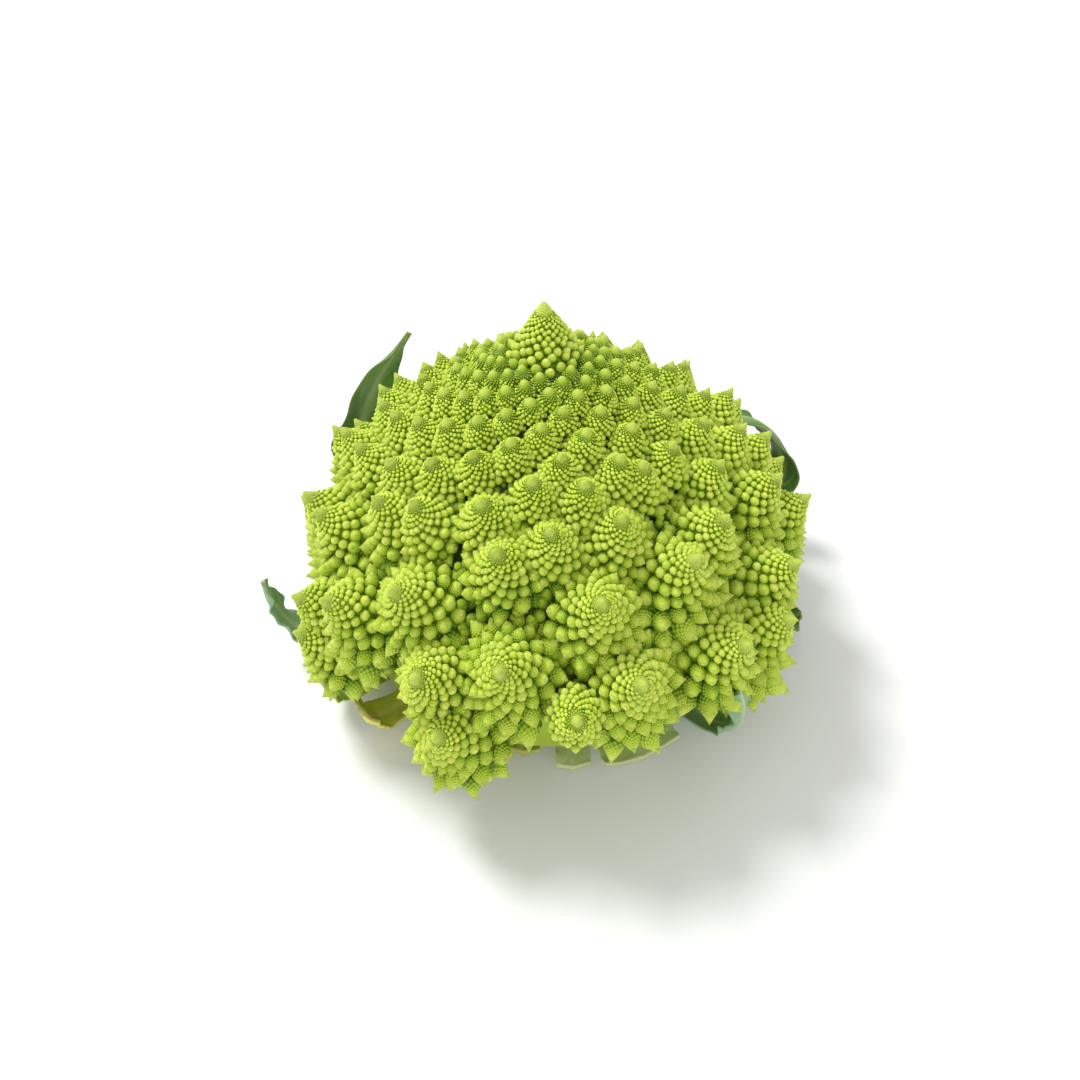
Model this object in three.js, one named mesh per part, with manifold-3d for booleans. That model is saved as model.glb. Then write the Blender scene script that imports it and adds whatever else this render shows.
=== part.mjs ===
// A romanesco head: a yellow-green curd of cone-shaped florets, set in spirals round a pointed crown,
// on a cut stalk with what the trimming has left of its leaves.
// Millimetres, +Z up. The origin is the middle of the stalk's cut face, on which the head stands.
// The front, at -Y, is the side with the low floret; azimuths are measured from it, towards +X.

import * as THREE from "three";
import { mergeVertices } from "three/addons/utils/BufferGeometryUtils.js";
import Module from "manifold-3d";

const wasm = await Module();
wasm.setup();

// Driving dimensions of the curd
const CROWN_HEIGHT = 112;
// The smooth knob at the crown's tip; distances down the flank are measured from its foot.
const CROWN_KNOB = { radius: 2.9, height: 4.1 };
// Down the curd's flank: distance along the surface of the tips, and its steepness in degrees.
const FLANK = [
  [0, 52],
  [14, 46],
  [25, 30],
  [40, 20],
  [60, 26],
  [80, 46],
  [101, 75],
  [116, 84],
];
const FLANK_STEP = 0.5;

// The area of a hexagon that is 1 across its flats
const HEXAGON_SHARE = Math.sqrt(3) / 2;

// The spiral on which the florets stand: the outermost is number 0, and they grow smaller towards the crown.
const SPIRAL_TURN = THREE.MathUtils.degToRad(99.502);
const FIRST_AZIMUTH = THREE.MathUtils.degToRad(287.3);
const RIM_DISTANCE = 115.7;
const SHRINK_PER_FLORET = 0.01247;
const SHRINK_GROWTH = 5.2e-6;
const FLORET_COUNT = 133;

// The floret low at the front right that came away with its leaf
const FLORETS_GONE = [1];

// Florets that have grown out of line, by number: turn round the head in degrees, and shift down the flank
const OUT_OF_LINE = {
  0: { turn: 15, shift: -7 },
  4: { turn: 10, shift: -16 },
  5: { turn: -15, shift: -8 },
  8: { turn: 0, shift: -6 },
  11: { turn: -2, shift: -1 },
  12: { turn: -5, shift: -4 },
  15: { turn: 0, shift: 11 },
  16: { turn: 4, shift: 2 },
  18: { turn: 4, shift: -9 },
  19: { turn: -3, shift: 2 },
  22: { turn: -6, shift: 3 },
  23: { turn: 2, shift: 5 },
  26: { turn: -4, shift: 5 },
  27: { turn: -4, shift: -6 },
  29: { turn: 0, shift: -1 },
  30: { turn: 1, shift: -7 },
  33: { turn: -5, shift: 2 },
  34: { turn: 3, shift: 2 },
  36: { turn: -2, shift: -3 },
  37: { turn: 1, shift: 2 },
  40: { turn: -1, shift: -6 },
  44: { turn: 1, shift: -3 },
  47: { turn: -3, shift: -1 },
  48: { turn: -3, shift: -6 },
  51: { turn: -4, shift: -2 },
  59: { turn: -1, shift: -8 },
  62: { turn: 2, shift: 0 },
  66: { turn: -2, shift: -3 },
  73: { turn: 3, shift: 0 },
};

// How steeply a floret points up, in degrees, by its distance down the flank
const FLORET_RISE = [
  [0, 84],
  [30, 76],
  [50, 68],
  [65, 60],
  [90, 48],
  [116, 42],
];

// Florets that have outgrown their room on the spiral, or that their neighbours have kept small, as a share
const GROWN = { 0: 0.75, 4: 0.55, 8: 0.4, 12: 0.88, 15: 0.85, 30: 1.3 };

// A floret, as shares of the room that it has on the spiral
const FLORET_LENGTH = 1.15;
const FLORET_RADIUS = 0.52;
const WIDEST_AT = 0.74;
const ROOT_WIDTH = 0.6;
const BUD_RELIEF = 0.13;
const BUD_LIFT = 0.8;
// Rings of buds: where the first one lies between the tip and the second, how they crowd towards the tip,
// how far each is turned on from the one above, in sides, and how fully a floret rounds in to its root
const FIRST_RING = 0.65;
const RING_CROWDING = 1.25;
const RING_TURN = 0.3;
const ROOT_FULLNESS = 1.5;

// Number of sides and rings of buds on a floret, from this room upwards, in millimetres
const FLORET_GRADES = [
  { room: 16, sides: 8, rings: 4 },
  { room: 10, sides: 8, rings: 3 },
  { room: 7, sides: 6, rings: 3 },
  { room: 0, sides: 6, rings: 2 },
];

// The crown's own tip, and the core that carries the florets
const CROWN_TIP = { reach: 20, sides: 16, rings: 9, relief: 0.09 };
const CORE_DEPTH = 0.66;
const CORE_BELOW_FLORETS = [0, 20, 45, 80, 110, 132];
const CORE_SIDES = 14;
const CORE_FLOOR = { height: 30, radius: 20 };

// The stalk: its cut face, its waist and the gap that it keeps to the curd and the leaves
const STALK_PROFILE = [
  [22.5, 0],
  [24.5, 2],
  [25, 9],
  [23.5, 16],
  [22, 23],
];
const STALK_TOP_RADIUS = 19;
const STALK_SIDES = 20;
const GAP = 0.35;
const LEAF_SEAT_GAP = 0.5;

// The arms under the curd: from and to are a radius and a height
const ARM_COUNT = 9;
const ARM = { from: [10, 17], to: [40, 21], root: 4, end: 2.2, sides: 6 };

// The grid of a leaf: stations along it, and places across it as shares of its half width
const LEAF_STATIONS = 10;
const LEAF_GRID = [-1, -0.6, -0.2, 0, 0.2, 0.6, 1];
const LEAF_WAVES = 11;
const BLADE_THICKNESS = 1.4;
const RIB_SHARE = 0.2;
const RIB_FADE = 0.75;

const UP = new THREE.Vector3(0, 0, 1);
const MERGE_WITHIN = 1e-4;

const curdGreen = new THREE.MeshStandardMaterial({
  color: 0xb9cc4c,
  roughness: 0.55,
  metalness: 0,
});

const stalkGreen = new THREE.MeshStandardMaterial({
  color: 0xb4c48a,
  roughness: 0.6,
  metalness: 0,
});

const leafGreen = new THREE.MeshStandardMaterial({
  color: 0x3f6b2c,
  roughness: 0.6,
  metalness: 0,
});

const paleLeafGreen = new THREE.MeshStandardMaterial({
  color: 0x9fb56a,
  roughness: 0.6,
  metalness: 0,
});

// The leaves, named for the side that they stand on. A rib is a list of radius, height and turn in degrees,
// from the stalk outwards; halfWidths gives shares of the length and half widths; bend is the angle that each
// half of the blade closes by; ribDepth is how far the midrib stands out at the stalk.
const LEAVES = {
  leaf_back_left: {
    azimuth: 232,
    rib: [[18, 10, 0], [50, 4.5, 0], [77, 6, 0], [92, 29, -1], [91, 50, -7], [87, 67, -16]],
    halfWidths: [[0, 6], [0.35, 8], [0.6, 15], [0.75, 12], [0.88, 6.5], [1, 2]],
    bend: 18,
    wave: 1.2,
    ribDepth: 3,
    material: leafGreen,
  },
  leaf_left: {
    azimuth: 281,
    rib: [[18, 10, 0], [50, 5, 0], [74, 5, 0], [83, 11, -1], [87, 19, -2], [88, 28, -2]],
    halfWidths: [[0, 5.5], [0.4, 6], [0.7, 4.6], [0.88, 3], [1, 0.9]],
    bend: 20,
    wave: 0.6,
    ribDepth: 2.6,
    material: leafGreen,
  },
  stub_left: {
    azimuth: 298,
    rib: [[18, 4.5, 0], [50, 4.5, 0], [70, 5.5, 0], [76, 13, 0]],
    halfWidths: [[0, 5.5], [0.5, 5], [0.85, 8], [1, 6]],
    bend: 20,
    wave: 0.5,
    ribDepth: 2.4,
    material: paleLeafGreen,
  },
  stub_brown: {
    azimuth: 313,
    rib: [[18, 10, 0], [45, 6, 0], [66, 8, 0], [71, 15, 0]],
    halfWidths: [[0, 5.5], [0.5, 4.6], [1, 6.5]],
    bend: 24,
    ribDepth: 2.4,
    material: paleLeafGreen,
  },
  stub_front_left: {
    azimuth: 336,
    rib: [[18, 4.5, 0], [40, 4.5, 0], [62, 8, 1]],
    halfWidths: [[0, 5.5], [0.5, 6], [1, 7]],
    bend: 24,
    ribDepth: 2.4,
    material: paleLeafGreen,
  },
  stub_front: {
    azimuth: 351,
    rib: [[18, 10, 0], [40, 6.5, 0], [58, 9, 0]],
    halfWidths: [[0, 5.5], [0.5, 4.6], [1, 4.6]],
    bend: 26,
    ribDepth: 2.4,
    material: leafGreen,
  },
  stub_midrib: {
    azimuth: 4,
    rib: [[18, 4.5, 0], [42, 4.5, 0], [60, 6, 0]],
    halfWidths: [[0, 5], [0.5, 4.4], [1, 4.8]],
    bend: 36,
    ribDepth: 2.6,
    material: paleLeafGreen,
  },
  stub_front_right: {
    azimuth: 21,
    rib: [[18, 10, 0], [45, 5.5, 0], [63, 8, 0]],
    halfWidths: [[0, 5.5], [0.5, 7], [0.8, 11], [1, 11]],
    bend: 22,
    ribDepth: 2.6,
    material: paleLeafGreen,
  },
  leaf_front_right: {
    azimuth: 41,
    rib: [[18, 4.5, 0], [48, 4.5, 0], [65, 7, 0], [72, 15, -1], [75, 26, -3], [75, 36, -5]],
    halfWidths: [[0, 5.5], [0.4, 4], [0.6, 4.4], [0.85, 3.4], [1, 0.9]],
    bend: 24,
    ribDepth: 1.8,
    material: leafGreen,
  },
  leaf_right: {
    azimuth: 80,
    rib: [[18, 10, 0], [50, 5, 0], [72, 4.5, 0], [79, 7, 0]],
    halfWidths: [[0, 5.5], [0.5, 7], [0.8, 7], [1, 2]],
    bend: 20,
    wave: 0.6,
    ribDepth: 2.4,
    material: leafGreen,
  },
  leaf_back_right: {
    azimuth: 115,
    rib: [[18, 10, 0], [50, 4.5, 0], [74, 5, 0], [89, 24, -4], [88, 37, -2], [83, 43, 4], [78, 41, 11]],
    halfWidths: [[0, 6], [0.3, 6.5], [0.55, 8], [0.8, 5], [1, 1.5]],
    bend: 18,
    wave: 0.8,
    ribDepth: 2.6,
    material: leafGreen,
  },
  stub_back_right: {
    azimuth: 148,
    rib: [[18, 4.5, 0], [45, 4.5, 0], [68, 7, 0]],
    halfWidths: [[0, 5.5], [0.5, 9], [1, 12]],
    bend: 22,
    ribDepth: 2.4,
    material: paleLeafGreen,
  },
  stub_back: {
    azimuth: 177,
    rib: [[18, 10, 0], [42, 6, 0], [60, 6, 0]],
    halfWidths: [[0, 5.5], [0.5, 7], [1, 9]],
    bend: 28,
    ribDepth: 2.8,
    material: paleLeafGreen,
  },
  leaf_back: {
    azimuth: 204,
    rib: [[18, 4.5, 0], [50, 4.5, 0], [78, 9, 0], [88, 28, 2]],
    halfWidths: [[0, 5.5], [0.5, 8], [0.8, 11], [1, 5]],
    bend: 20,
    wave: 1,
    ribDepth: 2.4,
    material: leafGreen,
  },
};

// A closed three.js geometry as a manifold-3d solid.
function solidOf(geometry) {
  const bare = geometry.clone();
  bare.deleteAttribute("normal");
  bare.deleteAttribute("uv");
  const merged = mergeVertices(bare, MERGE_WITHIN);
  return new wasm.Manifold(
    new wasm.Mesh({
      numProp: 3,
      vertProperties: merged.attributes.position.array,
      triVerts: Uint32Array.from(merged.index.array),
    }),
  );
}

// A manifold-3d solid as a three.js geometry, with flat shading.
function geometryOf(solid) {
  const { vertProperties, triVerts } = solid.getMesh();
  const shared = new THREE.BufferGeometry()
    .setAttribute("position", new THREE.BufferAttribute(vertProperties, 3))
    .setIndex(new THREE.BufferAttribute(triVerts, 1));
  const faceted = shared.toNonIndexed();
  faceted.computeVertexNormals();
  return faceted;
}

// The biggest body of a solid: the scraps and sealed hollows that fusing leaves are dropped.
function mainBody(solid) {
  const bodies = solid.decompose();
  return bodies.reduce((best, body) =>
    body.volume() > best.volume() ? body : best,
  );
}

// Linear interpolation in a list of [x, y] pairs.
function interpolate(pairs, x) {
  const last = pairs.length - 1;
  if (x >= pairs[last][0]) return pairs[last][1];
  const i = pairs.findIndex(([start]) => start > x);
  const [x0, y0] = pairs[i - 1];
  const [x1, y1] = pairs[i];
  return y0 + ((y1 - y0) * (x - x0)) / (x1 - x0);
}

// The point of the tips' surface at a distance from the knob's foot: its radius and height.
function onFlank(distance) {
  let radius = CROWN_KNOB.radius;
  let height = CROWN_HEIGHT - CROWN_KNOB.height;
  for (let at = 0; at < distance; at += FLANK_STEP) {
    const step = Math.min(FLANK_STEP, distance - at);
    const slope = THREE.MathUtils.degToRad(
      interpolate(FLANK, at + step / 2),
    );
    radius += step * Math.cos(slope);
    height -= step * Math.sin(slope);
  }
  return { radius, height };
}

// Where floret number n stands, which way it points, and the room that it has between its neighbours.
function floretPlace(n) {
  const { turn, shift } = OUT_OF_LINE[n] ?? { turn: 0, shift: 0 };
  const shrunk = SHRINK_PER_FLORET * n + SHRINK_GROWTH * n * n;
  const shrink = SHRINK_PER_FLORET + 2 * SHRINK_GROWTH * n;
  const inLine = RIM_DISTANCE * Math.exp(-shrunk);
  const distance = inLine + shift;
  const { radius, height } = onFlank(distance);
  const azimuth = FIRST_AZIMUTH + n * SPIRAL_TURN + THREE.MathUtils.degToRad(turn);
  const rise = THREE.MathUtils.degToRad(interpolate(FLORET_RISE, distance));
  const tip = aroundAxis(azimuth, [radius, height]);
  const axis = aroundAxis(azimuth, [Math.cos(rise), Math.sin(rise)]);
  const area = 2 * Math.PI * onFlank(inLine).radius * inLine * shrink;
  return { tip, axis, room: Math.sqrt(area / HEXAGON_SHARE) * (GROWN[n] ?? 1) };
}

// A cone of buds, its tip at the origin and its root down -Z. The surface is a grid of rings whose points
// stand out and sink in by turns, so that each bud is a small pyramid between four hollows, and the rings
// turn a little, so that the rows of buds climb in spirals.
function budCone({ length, radius, sides, rings, relief, widestAt, rootWidth }) {
  const points = [new THREE.Vector3(0, 0, 0)];
  for (let ring = 1; ring <= rings; ring += 1) {
    const down = ((ring - 1 + FIRST_RING) / (rings - 1 + FIRST_RING)) ** RING_CROWDING;
    const full = Math.min(1, down / widestAt);
    const closing = widestAt < 1 ? Math.max(0, (down - widestAt) / (1 - widestAt)) : 0;
    const girth = radius * full * (1 - (1 - rootWidth) * closing ** ROOT_FULLNESS);
    const isRoot = ring === rings;
    for (let side = 0; side < sides; side += 1) {
      const angle = (2 * Math.PI * (side + RING_TURN * ring)) / sides;
      const stands = (side + ring) % 2 === 0 ? 1 : -1;
      const bud = isRoot ? 0 : stands * relief * girth;
      points.push(
        new THREE.Vector3(
          (girth + bud) * Math.cos(angle),
          (girth + bud) * Math.sin(angle),
          -length * down + Math.max(0, bud) * BUD_LIFT,
        ),
      );
    }
  }
  points.push(new THREE.Vector3(0, 0, -length));

  const at = (ring, side) => 1 + (ring - 1) * sides + (side % sides);
  const root = points.length - 1;
  const faces = [];
  for (let side = 0; side < sides; side += 1) {
    faces.push(0, at(1, side), at(1, side + 1));
    faces.push(root, at(rings, side + 1), at(rings, side));
    for (let ring = 1; ring < rings; ring += 1) {
      const a = at(ring, side);
      const b = at(ring, side + 1);
      const c = at(ring + 1, side);
      const d = at(ring + 1, side + 1);
      // The quad is cut between its two hollows.
      if ((side + ring) % 2 === 0) faces.push(a, c, b, b, c, d);
      else faces.push(a, c, d, a, d, b);
    }
  }
  return new THREE.BufferGeometry().setFromPoints(points).setIndex(faces);
}

function floret(n) {
  const { tip, axis, room } = floretPlace(n);
  const grade = FLORET_GRADES.find((entry) => room >= entry.room);
  const cone = budCone({
    length: FLORET_LENGTH * room,
    radius: FLORET_RADIUS * room,
    sides: grade.sides,
    rings: grade.rings,
    relief: BUD_RELIEF,
    widestAt: WIDEST_AT,
    rootWidth: ROOT_WIDTH,
  });
  cone.rotateZ(n * SPIRAL_TURN);
  cone.applyQuaternion(new THREE.Quaternion().setFromUnitVectors(UP, axis));
  cone.translate(tip.x, tip.y, tip.z);
  return solidOf(cone);
}

// The core is a lathe solid that follows the florets at a depth below their tips.
function core() {
  const profile = [new THREE.Vector2(0, CORE_FLOOR.height)];
  profile.push(new THREE.Vector2(CORE_FLOOR.radius, CORE_FLOOR.height));
  const places = CORE_BELOW_FLORETS.map(floretPlace);
  for (const { tip, axis, room } of places) {
    const depth = CORE_DEPTH * FLORET_LENGTH * room;
    const rim = Math.hypot(tip.x, tip.y) - depth * Math.hypot(axis.x, axis.y);
    profile.push(new THREE.Vector2(rim, tip.z - depth * axis.z));
  }
  profile.push(new THREE.Vector2(0, CROWN_HEIGHT - CROWN_TIP.reach / 2));
  return solidOf(new THREE.LatheGeometry(profile, CORE_SIDES).rotateX(Math.PI / 2));
}

function crownTip() {
  const foot = onFlank(CROWN_TIP.reach);
  const cone = budCone({
    length: CROWN_HEIGHT - foot.height,
    radius: foot.radius,
    sides: CROWN_TIP.sides,
    rings: CROWN_TIP.rings,
    relief: CROWN_TIP.relief,
    widestAt: 1,
    rootWidth: 1,
  });
  return solidOf(cone.translate(0, 0, CROWN_HEIGHT));
}

function curd() {
  const numbers = Array.from({ length: FLORET_COUNT }, (_, n) => n);
  const florets = numbers.filter((n) => !FLORETS_GONE.includes(n)).map(floret);
  const whole = wasm.Manifold.union([core(), crownTip(), ...florets]);
  return new THREE.Mesh(geometryOf(mainBody(whole)), curdGreen);
}

// The stalk: a trunk with a flat cut face, and the pale arms that branch from it under the curd.
function stalk() {
  const top = CORE_FLOOR.height - GAP;
  const profile = [[0, 0], ...STALK_PROFILE, [STALK_TOP_RADIUS, top], [0, top]];
  const points = profile.map(([radius, height]) => new THREE.Vector2(radius, height));
  const trunk = new THREE.LatheGeometry(points, STALK_SIDES).rotateX(Math.PI / 2);
  const arms = Array.from({ length: ARM_COUNT }, (_, i) => {
    const azimuth = FIRST_AZIMUTH + (i * 2 * Math.PI) / ARM_COUNT;
    const from = aroundAxis(azimuth, ARM.from);
    const to = aroundAxis(azimuth, ARM.to);
    const along = to.clone().sub(from);
    const arm = new THREE.CylinderGeometry(ARM.end, ARM.root, along.length(), ARM.sides);
    arm.applyQuaternion(
      new THREE.Quaternion().setFromUnitVectors(
        new THREE.Vector3(0, 1, 0),
        along.clone().normalize(),
      ),
    );
    arm.translate(...from.lerp(to, 0.5));
    return solidOf(arm);
  });
  const whole = wasm.Manifold.union([solidOf(trunk), ...arms]);
  return new THREE.Mesh(geometryOf(mainBody(whole)), stalkGreen);
}

// The point at a radius and height, on an azimuth measured from the front.
function aroundAxis(azimuth, [radius, height]) {
  return new THREE.Vector3(
    radius * Math.sin(azimuth),
    -radius * Math.cos(azimuth),
    height,
  );
}

// What the leaves are cut back to: the trunk with its gap all round.
function seatForLeaves() {
  const sides = STALK_PROFILE.map(([radius, height]) => [radius + LEAF_SEAT_GAP, height]);
  const profile = [[0, -GAP], [sides[0][0], -GAP], ...sides, [0, STALK_PROFILE.at(-1)[1]]];
  const points = profile.map(([radius, height]) => new THREE.Vector2(radius, height));
  return solidOf(new THREE.LatheGeometry(points, STALK_SIDES).rotateX(Math.PI / 2));
}

// A leaf is a blade bent round its midrib: a curve gives the midrib, and each station on it is an arc that
// closes towards the curd at both edges. The midrib is raised on the outside. Both faces have the same grid
// and the same diagonals.
function leaf(seat, { azimuth, rib, halfWidths, bend, wave = 0, ribDepth, material }) {
  const path = new THREE.CatmullRomCurve3(
    rib.map(([radius, height, turn]) =>
      aroundAxis(THREE.MathUtils.degToRad(azimuth + turn), [radius, height]),
    ),
  );
  const outer = [];
  const inner = [];
  for (let station = 0; station <= LEAF_STATIONS; station += 1) {
    const share = station / LEAF_STATIONS;
    const centre = path.getPoint(share);
    const along = path.getTangent(share);
    const round = THREE.MathUtils.degToRad(azimuth);
    const across = new THREE.Vector3(Math.cos(round), Math.sin(round), 0);
    across.addScaledVector(along, -across.dot(along)).normalize();
    const outward = across.clone().cross(along);
    const halfWidth = interpolate(halfWidths, share);
    const closing = THREE.MathUtils.degToRad(bend);
    for (const side of LEAF_GRID) {
      const angle = closing * side;
      const flutter = wave * side * side * Math.sin(LEAF_WAVES * share + 2 * side);
      const middle = centre
        .clone()
        .addScaledVector(across, (halfWidth * Math.sin(angle)) / closing)
        .addScaledVector(outward, (halfWidth * (Math.cos(angle) - 1)) / closing + flutter);
      const normal = outward
        .clone()
        .multiplyScalar(Math.cos(angle))
        .addScaledVector(across, Math.sin(angle));
      const swell = ribDepth * (1 - RIB_FADE * share) * Math.exp(-((side / RIB_SHARE) ** 2));
      outer.push(middle.clone().addScaledVector(normal, BLADE_THICKNESS / 2 + swell));
      inner.push(middle.clone().addScaledVector(normal, -BLADE_THICKNESS / 2));
    }
  }
  const blade = solidOf(bladeGeometry(outer, inner));
  return new THREE.Mesh(geometryOf(mainBody(blade.subtract(seat))), material);
}

// Two grids of points, joined along their border.
function bladeGeometry(outer, inner) {
  const wide = LEAF_GRID.length;
  const at = (station, column) => station * wide + column;
  const back = outer.length;
  const faces = [];
  for (let station = 0; station < LEAF_STATIONS; station += 1) {
    for (let column = 0; column < wide - 1; column += 1) {
      const a = at(station, column);
      const b = at(station, column + 1);
      const c = at(station + 1, column);
      const d = at(station + 1, column + 1);
      faces.push(a, b, c, b, d, c);
      faces.push(back + a, back + c, back + b, back + b, back + c, back + d);
    }
  }
  const wall = (from, to) => faces.push(from, to, back + from, to, back + to, back + from);
  for (let column = 0; column < wide - 1; column += 1) {
    wall(at(0, column + 1), at(0, column));
    wall(at(LEAF_STATIONS, column), at(LEAF_STATIONS, column + 1));
  }
  for (let station = 0; station < LEAF_STATIONS; station += 1) {
    wall(at(station, 0), at(station + 1, 0));
    wall(at(station + 1, wide - 1), at(station, wide - 1));
  }
  return new THREE.BufferGeometry().setFromPoints([...outer, ...inner]).setIndex(faces);
}

const head = new THREE.Group();
const add = (name, mesh) => {
  mesh.name = name;
  head.add(mesh);
};
add("curd", curd());
add("stalk", stalk());
const seat = seatForLeaves();
for (const [name, shape] of Object.entries(LEAVES)) add(name, leaf(seat, shape));

export default head;
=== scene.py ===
import math
from functools import partial

import bpy
import numpy as np
from mathutils import Matrix, Vector


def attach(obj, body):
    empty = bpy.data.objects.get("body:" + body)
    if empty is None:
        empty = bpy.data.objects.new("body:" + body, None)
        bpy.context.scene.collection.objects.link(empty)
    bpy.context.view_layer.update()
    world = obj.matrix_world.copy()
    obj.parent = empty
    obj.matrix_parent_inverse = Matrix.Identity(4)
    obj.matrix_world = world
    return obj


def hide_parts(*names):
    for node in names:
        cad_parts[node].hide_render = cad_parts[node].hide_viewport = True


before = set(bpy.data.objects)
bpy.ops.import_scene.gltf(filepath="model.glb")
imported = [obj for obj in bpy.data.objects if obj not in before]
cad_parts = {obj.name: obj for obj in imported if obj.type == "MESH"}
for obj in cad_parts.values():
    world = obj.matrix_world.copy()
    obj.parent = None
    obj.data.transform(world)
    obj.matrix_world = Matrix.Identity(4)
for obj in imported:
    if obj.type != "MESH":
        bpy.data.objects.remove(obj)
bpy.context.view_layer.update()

# A romanesco head on its cut stalk. Lengths are in millimetres up to the moment a mesh is made.
MM = 0.001
DICE = np.random.default_rng(7)
# The area of a hexagon that is 1 across its flats
HEXAGON = math.sqrt(3) / 2

# The knob at the crown's tip, and the curd's flank below it, as distance along the tips and steepness
CROWN_HEIGHT = 112.0
KNOB_RADIUS, KNOB_HEIGHT = 2.9, 4.1
KNOB_BLUNTNESS = 0.58
FLANK = np.array([[0, 52], [14, 46], [25, 30], [40, 20], [60, 26], [80, 46], [101, 75], [116, 84]], float)
FLANK_STEP, FLANK_LENGTH = 0.25, 140

# The spiral of the florets, from the rim to the crown
FLORET_TURN = math.radians(99.502)
FIRST_AZIMUTH = math.radians(287.3)
RIM_DISTANCE = 115.7
SHRINK = 0.01247
SHRINK_GROWTH = 5.2e-6
FLORET_COUNT = 160
FLORETS_GONE = [1]
# Florets out of line: number, turn in degrees, shift down the flank
OUT_OF_LINE = [
    (0, 15, -7), (4, 10, -16), (5, -15, -8), (8, 0, -6), (11, -2, -1), (12, -5, -4), (15, 0, 11),
    (16, 4, 2), (18, 4, -9), (19, -3, 2), (22, -6, 3), (23, 2, 5), (26, -4, 5),
    (27, -4, -6), (29, 0, -1), (30, 1, -7), (33, -5, 2), (34, 3, 2), (36, -2, -3),
    (37, 1, 2), (40, -1, -6), (44, 1, -3), (47, -3, -1), (48, -3, -6), (51, -4, -2),
    (59, -1, -8), (62, 2, 0), (66, -2, -3), (73, 3, 0),
]
# The steepness of the florets' axes in degrees, by distance
FLORET_RISE = np.array([[0, 84], [30, 76], [50, 68], [65, 60], [90, 48], [116, 42]], float)
# Florets that have outgrown their room on the spiral, or stayed small: number, share of the room
GROWN = [(0, 0.75), (4, 0.55), (8, 0.4), (12, 0.88), (15, 0.85), (30, 1.3)]
# The florets end at this distance from the knob's foot, where the crown's own buds take over
CROWN_REACH = 13.9
# From this number on, and fully from 60 florets later, tips stand out by this share of the room
YOUNG_FROM, YOUNG_OVER, YOUNG_LIFT = 55, 60, 0.4

# A floret's outline, as shares of its room: length, where it is widest, its radius there and at the root
LENGTH = 1.15
WIDEST = 0.851
GIRTH = 0.5
ROOT_SHARE = 0.6
# Small florets are blunter than large ones: from this room upwards, the power of their outline
BLUNTNESS = [(0, 0.5), (7.5, 0.7), (11, 0.9), (16, 1.05)]

# Buds on a floret: each is turned on by the golden angle and is a little nearer the tip than the last
BUD_TURN = math.radians(137.508)
BUD_SHRINK = 0.0115
BUD_SPACING = 0.208
ROW_SPACING = 0.9
BUD_LEAN = math.radians(13)
SMALLEST_BUD = 0.44
# Past this room the distance shrinks faster from bud to bud, by up to half, so that buds are larger
LARGE_ROOM, LARGE_SHRINK = 14, 0.5
# Florets with less room than this have a smoother tip
SMALL_ROOM, SMALL_SMOOTHNESS = 10, 0.024
# The shrinking and the smallest bud on the crown
CROWN_SHRINK = 0.0078
SMALLEST_CROWN_BUD = 0.85
# How uneven the growth is: the turn, the distance, the lean and the size of a bud
UNEVEN_TURN, UNEVEN_PLACE, UNEVEN_LEAN, UNEVEN_SIZE = 0.025, 0.013, 0.06, 0.06

# Small buds in the gaps between the florets: their spiral, depth and size as shares of a floret's room, and
# the share of brightness they keep, which is painted shade
GAP_SHRINK = 0.00048
GAP_NUMBERS = (230, 2900)
GAP_DEPTH, GAP_SIZE = 0.8, 0.14
GAP_FLORET_SHRINK = 0.0135
GAP_SHADE = 0.62

# Buds are left out this far inside another floret, as a share of their size, and this low on a floret that
# stands close among others, as a share of its room
BURIED = 0.45
OPEN_FLORETS, LOWEST_BUD = 16, 0.92

# How far the crown's buds are sunk, as a share of their size, and made smaller, both from one size on and
# fully that much above it
CROWN_SINK_FROM = 0.8
CROWN_SINK, CROWN_SINK_OVER = 0.85, 1.6
CROWN_LESS, CROWN_LESS_OVER = 0.1, 2.0

# The brightness of buds: its middle, its spread and its limits
BRIGHT, BRIGHT_SPREAD, BRIGHT_LIMITS = 0.92, 0.07, (0.7, 1.1)
# Buds are dull up to this share of the room from a tip, as if the crown's room were this
DULL_SHARE, CROWN_ROOM = 0.3, 22.0
# Florets are bright all over where this much less the room over this many millimetres comes to 1 or more
YOUNG_BRIGHT, YOUNG_BRIGHT_ROOM = 1.6, 9
# Buds carry small buds of their own from this size on, fully 1 mm above it
GRAIN_FROM = 0.9

# The core: the florets whose roots it runs through, at this share of their length, its floor, and how far
# its top lies below the crown
CORE_FLORETS, CORE_DEPTH = (159, 130, 100, 70, 45, 20, 2), 0.84
CORE_FLOOR, CORE_FLOOR_RADIUS, CORE_TOP = 30, 20, 12

# Sides of the bodies under the buds, and their triangles in the sharing out of florets among the pieces
BODY_SIDES, CROWN_SIDES, CORE_SIDES = 12, 24, 48
BODY_WEIGHT = 330
CURD_PIECES = 6

# A bud of room 1: the radius and height of its dome, more height for a pointed one, and how far it is sunk
BUD_RADIUS, BUD_HEIGHT, POINT_HEIGHT, BUD_SINK = 0.56, 0.62, 0.42, 0.02
# The foot of the skirt that hides its edge: radius and depth
SKIRT_RADIUS, SKIRT_DEPTH = 0.40, 0.42
# The small buds on a bud: their rows either way round, how fast the rows climb, and their height
ROWS_UP, ROWS_DOWN = 8, 13
CLIMB_UP, CLIMB_DOWN = 4.3, 2.8
SMALL_BUD_HEIGHT = 0.11


def steepness(pairs, distance):
    """The angle in radians at a distance, from a list of (distance, degrees)."""
    return np.radians(np.interp(distance, pairs[:, 0], pairs[:, 1]))


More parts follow.
